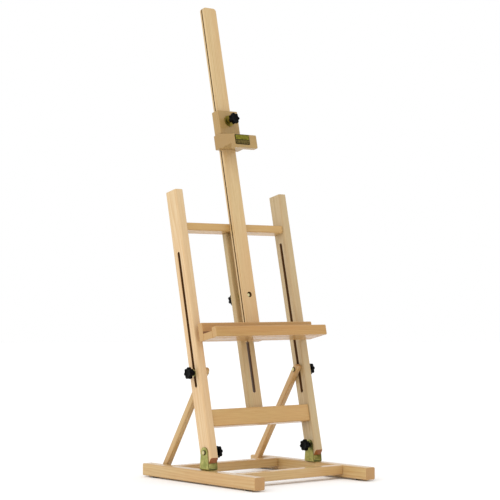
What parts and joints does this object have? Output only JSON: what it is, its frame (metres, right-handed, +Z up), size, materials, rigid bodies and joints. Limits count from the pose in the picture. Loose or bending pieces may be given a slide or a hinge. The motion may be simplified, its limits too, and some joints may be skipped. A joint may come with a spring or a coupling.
{
  "type": "artist easel",
  "caption": "Table-top H-frame artist's easel in wood, with a tilting frame, a sliding mast with a tray, and a sliding canvas clamp.",
  "frame": {"origin": "on the surface the easel stands on, under the middle of its base", "axes": "+Z up, -Y towards the painter (tray side), +X to the painter's right"},
  "size_m": [0.4212, 0.47, 1.2659],
  "materials": {
    "rail_wood": "satin varnish",
    "post_wood": "satin varnish",
    "mast_wood": "satin varnish",
    "zinc": "yellow passivated zinc plate",
    "knob_plastic": "fine satin",
    "rubber": "matte",
    "plate_metal": "lacquered brushed metal"
  },
  "bodies": {
    "base": {"base_crossbar_front": "rail_wood", "base_crossbar_rear": "rail_wood", "base_rail_left": "rail_wood", "foot_front_left": "rubber", "foot_rear_left": "rubber", "bracket_left": "zinc", "bracket_screw_left": "zinc", "bracket_bolt_left": "zinc", "prop_pivot_left": "zinc", "prop_spacer_left": "zinc", "base_rail_right": "rail_wood", "foot_front_right": "rubber", "foot_rear_right": "rubber", "bracket_right": "zinc", "bracket_screw_right": "zinc", "bracket_bolt_right": "zinc", "prop_pivot_right": "zinc", "prop_spacer_right": "zinc"},
    "frame": {"post_left": "post_wood", "post_right": "post_wood", "top_crossbar": "rail_wood", "lower_crossbar": "rail_wood", "centre_post": "rail_wood"},
    "prop_left": {"prop_left": "rail_wood", "prop_bolt_left": "zinc", "prop_washer_left": "zinc"},
    "prop_right": {"prop_right": "rail_wood", "prop_bolt_right": "zinc", "prop_washer_right": "zinc"},
    "mast": {"mast": "mast_wood", "mast_bolt": "zinc", "mast_spacer": "zinc", "mast_washer": "zinc", "tray_back_board": "rail_wood", "tray_bottom_board": "rail_wood", "tray_front_lip": "rail_wood", "tray_screw_1": "zinc", "tray_screw_2": "zinc"},
    "clamp": {"clamp_saddle": "mast_wood", "clamp_nose": "mast_wood", "clamp_plate": "plate_metal", "clamp_flange": "zinc"},
    "clamp_knob": {"clamp_knob": "knob_plastic", "clamp_stud": "zinc"},
    "mast_knob": {"mast_knob": "knob_plastic"},
    "bracket_knob_left": {"bracket_knob_left": "knob_plastic"},
    "bracket_knob_right": {"bracket_knob_right": "knob_plastic"},
    "prop_knob_left": {"prop_knob_left": "knob_plastic"},
    "prop_knob_right": {"prop_knob_right": "knob_plastic"}
  },
  "joints": [
    {"name": "frame_tilt", "type": "hinge", "parent": "base", "child": "frame", "pos_m": [0, -0.021, 0.0803], "axis": [-1, 0, 0], "range_deg": [-5.5, 11.5]},
    {"name": "prop_left_swing", "type": "hinge", "parent": "base", "child": "prop_left", "pos_m": [-0.1552, 0.197, 0.0183], "axis": [-1, 0, 0], "range_deg": [-5.5, 11.5]},
    {"name": "prop_left_knob_turn", "type": "hinge", "parent": "prop_left", "child": "prop_knob_left", "pos_m": [-0.19, 0.02364, 0.28011], "axis": [1, 0, 0], "continuous": true},
    {"name": "bracket_left_knob_turn", "type": "hinge", "parent": "base", "child": "bracket_knob_left", "pos_m": [-0.161, -0.021, 0.0803], "axis": [1, 0, 0], "continuous": true},
    {"name": "prop_right_swing", "type": "hinge", "parent": "base", "child": "prop_right", "pos_m": [0.1552, 0.197, 0.0183], "axis": [-1, 0, 0], "range_deg": [-5.5, 11.5]},
    {"name": "prop_right_knob_turn", "type": "hinge", "parent": "prop_right", "child": "prop_knob_right", "pos_m": [0.19, 0.02364, 0.28011], "axis": [1, 0, 0], "continuous": true},
    {"name": "bracket_right_knob_turn", "type": "hinge", "parent": "base", "child": "bracket_knob_right", "pos_m": [0.161, -0.021, 0.0803], "axis": [1, 0, 0], "continuous": true},
    {"name": "mast_slide", "type": "slide", "parent": "frame", "child": "mast", "axis": [0, 0.213, 0.977], "range_m": [-0.25, 0.135]},
    {"name": "mast_knob_turn", "type": "hinge", "parent": "mast", "child": "mast_knob", "pos_m": [0, 0.06485, 0.47405], "axis": [0, 0.977, -0.213], "continuous": true},
    {"name": "clamp_slide", "type": "slide", "parent": "mast", "child": "clamp", "axis": [0, 0.213, 0.977], "range_m": [-0.43, 0.29]},
    {"name": "clamp_knob_turn", "type": "hinge", "parent": "clamp", "child": "clamp_knob", "pos_m": [0, 0.16583, 0.93717], "axis": [0, 0.977, -0.213], "continuous": true}
  ],
  "couplings": [
    {"joint": "prop_left_swing", "follows": "frame_tilt", "ratio": 1},
    {"joint": "prop_right_swing", "follows": "frame_tilt", "ratio": 1}
  ]
}
